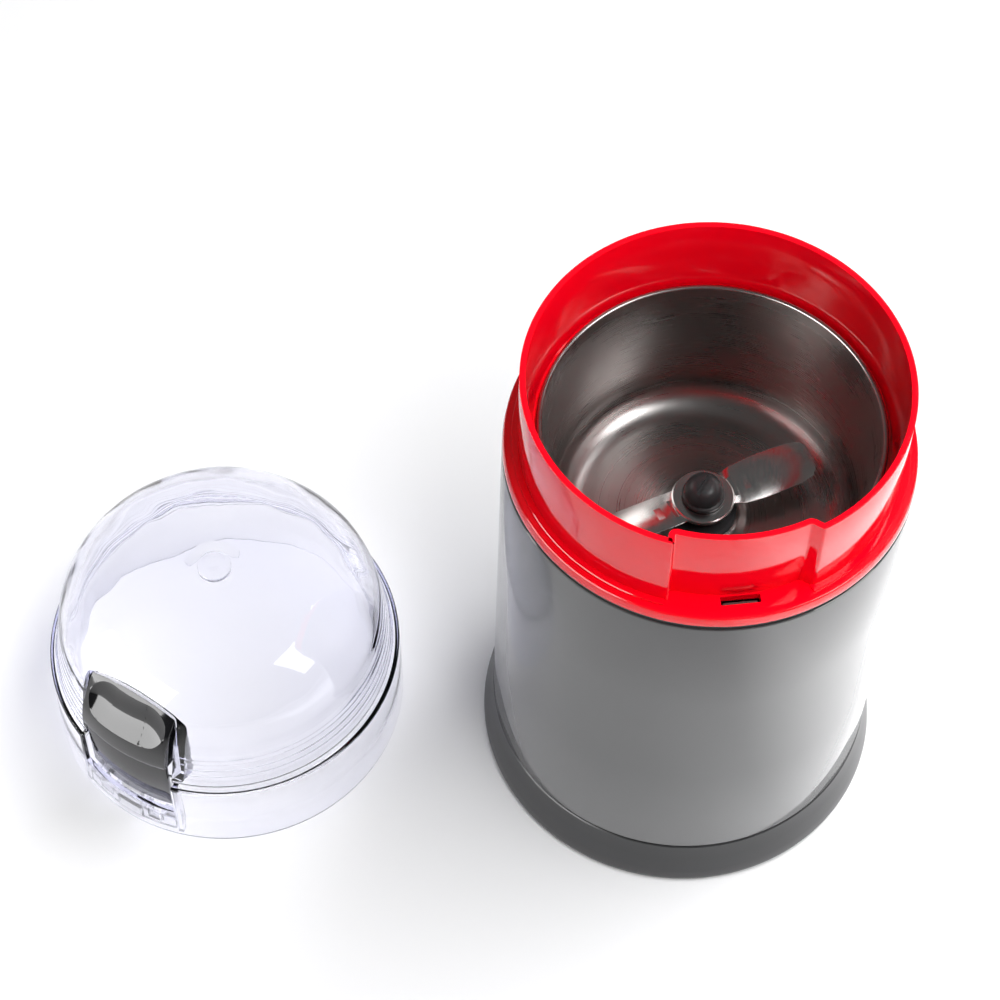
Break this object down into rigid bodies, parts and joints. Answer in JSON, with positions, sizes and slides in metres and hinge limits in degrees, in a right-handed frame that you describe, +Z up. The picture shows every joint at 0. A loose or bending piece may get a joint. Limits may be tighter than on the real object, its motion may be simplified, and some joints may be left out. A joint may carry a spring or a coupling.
{
  "type": "electric spice grinder",
  "caption": "Upright electric spice grinder with a steel bowl and spinning blade in a red collar, and a clear domed lid with a press button lying beside it.",
  "frame": {"origin": "middle of the outline of the body and the lid together, on the surface they stand on", "axes": "+X from the lid towards the body, +Z up, -Y towards the recess in the collar and the viewer"},
  "size_m": [0.203, 0.096, 0.1435],
  "materials": {
    "red_plastic": "glossy red",
    "shell_plastic": "glossy gunmetal grey",
    "base_plastic": "satin dark grey",
    "inner_plastic": "matt black",
    "black_plastic": "piano black",
    "clear_plastic": "clear, with a faint violet tint in its thick edges",
    "bowl_steel": "fine spun steel",
    "bright_steel": "bright plated steel",
    "iron": "bare laminated iron",
    "die_cast": "as cast",
    "bronze": "plain",
    "copper": "varnished copper",
    "carbon": "graphite",
    "foot_rubber": "matt",
    "gland_rubber": "matt",
    "white_plastic": "matt ivory",
    "yellow_plastic": "glossy yellow",
    "blue_plastic": "matt blue insulation",
    "fan_plastic": "matt blue"
  },
  "bodies": {
    "root": {"base_ring": "base_plastic", "base_plate": "inner_plastic", "rubber_feet": "foot_rubber", "base_screws": "bright_steel", "outer_shell": "shell_plastic", "cord_gland": "gland_rubber", "collar": "red_plastic", "collar_gasket": "gland_rubber", "grinding_bowl": "bowl_steel", "bowl_seal": "gland_rubber", "shaft_seal": "gland_rubber", "stator_core": "iron", "field_coils": "copper", "upper_bracket": "die_cast", "lower_bracket": "inner_plastic", "upper_bearing": "bronze", "lower_bearing": "bronze", "motor_screws": "bright_steel", "motor_bushes": "gland_rubber", "mount_screws": "bright_steel", "brush_holders": "bronze", "carbon_brushes": "carbon", "brush_springs": "bright_steel", "microswitch": "inner_plastic", "switch_bracket": "bright_steel", "switch_screws": "bright_steel", "terminal_block": "white_plastic", "capacitor": "yellow_plastic", "lead_wires": "blue_plastic"},
    "rotor": {"motor_shaft": "bright_steel", "rotor_core": "iron", "rotor_windings": "copper", "commutator": "copper", "cooling_fan": "fan_plastic", "blade_spacer": "inner_plastic", "blade": "bowl_steel", "blade_nut": "inner_plastic"},
    "plunger": {"interlock_plunger": "black_plastic", "plunger_spring": "bright_steel"},
    "lever": {"switch_lever": "bright_steel"},
    "switch_pin": {"switch_button": "red_plastic"},
    "lid": {"lid_cover": "clear_plastic", "button_guide": "clear_plastic"},
    "button": {"lid_button": "black_plastic", "button_leg": "white_plastic", "button_spring": "bright_steel"}
  },
  "joints": [
    {"name": "rotor_spin", "type": "hinge", "parent": "root", "child": "rotor", "pos_m": [0.05355, 0, 0.0972], "axis": [0, 0, 1], "continuous": true},
    {"name": "plunger_press", "type": "slide", "parent": "root", "child": "plunger", "axis": [0, 0, -1], "range_m": [0, 0.0024], "stiffness_N_per_m": 120, "springref_m": -0.001, "deforming": ["plunger_spring"]},
    {"name": "lever_tilt", "type": "hinge", "parent": "root", "child": "lever", "pos_m": [0.05023, -0.04068, 0.0986], "axis": [-0.1305, 0.9914, 0], "range_deg": [0, 16]},
    {"name": "switch_press", "type": "slide", "parent": "root", "child": "switch_pin", "axis": [0, 0, -1], "range_m": [0, 0.0012]},
    {"name": "lid_lift", "type": "slide", "parent": "root", "child": "lid", "axis": [0, 0, 1], "range_m": [0, 0.16]},
    {"name": "button_press", "type": "slide", "parent": "lid", "child": "button", "axis": [0, 0, -1], "range_m": [0, 0.004], "stiffness_N_per_m": 150, "springref_m": -0.001, "deforming": ["button_spring"]}
  ],
  "couplings": [
    {"joint": "lever_tilt", "follows": "plunger_press", "rad_per_m": 116.28},
    {"joint": "switch_press", "follows": "plunger_press", "ratio": 0.5}
  ]
}
